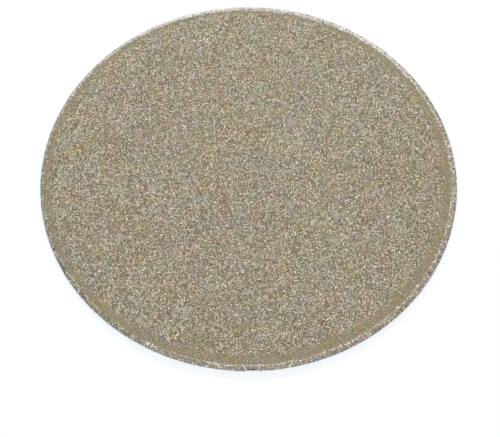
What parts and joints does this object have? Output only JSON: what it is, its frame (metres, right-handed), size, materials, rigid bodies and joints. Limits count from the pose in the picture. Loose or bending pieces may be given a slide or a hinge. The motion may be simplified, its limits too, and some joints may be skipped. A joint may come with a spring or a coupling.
{
  "type": "diamond lap disc",
  "caption": "Solid round grinding disc with a diamond face and rolled diamond rim on a steel blank, and a self-adhesive back under a slit release liner.",
  "frame": {"origin": "middle of the underside of the release liner, the face that the disc lies on", "axes": "+Z along the disc's axis, out of the diamond face; -Y towards the front, where the bare contact spot is on the rim; +X to the right"},
  "size_m": [0.15, 0.15, 0.0019],
  "materials": {
    "steel": "bare cold-rolled steel, dulled and a little rusty at the contact spot",
    "nickel": "electroplated nickel, matt, warm grey",
    "diamond": "coarse nickel-clad and clear diamond crystals, sparkling",
    "adhesive": "clear pressure-sensitive film, tacky",
    "liner": "brown siliconed kraft paper, smooth"
  },
  "bodies": {
    "disc": {"steel_blank": "steel", "face_bond": "nickel", "rim_bond": "nickel", "face_diamonds": "diamond", "rim_diamonds": "diamond", "adhesive_film": "adhesive"},
    "left_liner": {"liner_left": "liner"},
    "right_liner": {"liner_right": "liner"}
  },
  "joints": [
    {"name": "left_liner_peel", "type": "slide", "parent": "disc", "child": "left_liner", "axis": [-1, 0, 0], "range_m": [0, 0.08]},
    {"name": "right_liner_peel", "type": "slide", "parent": "disc", "child": "right_liner", "axis": [1, 0, 0], "range_m": [0, 0.08]}
  ]
}
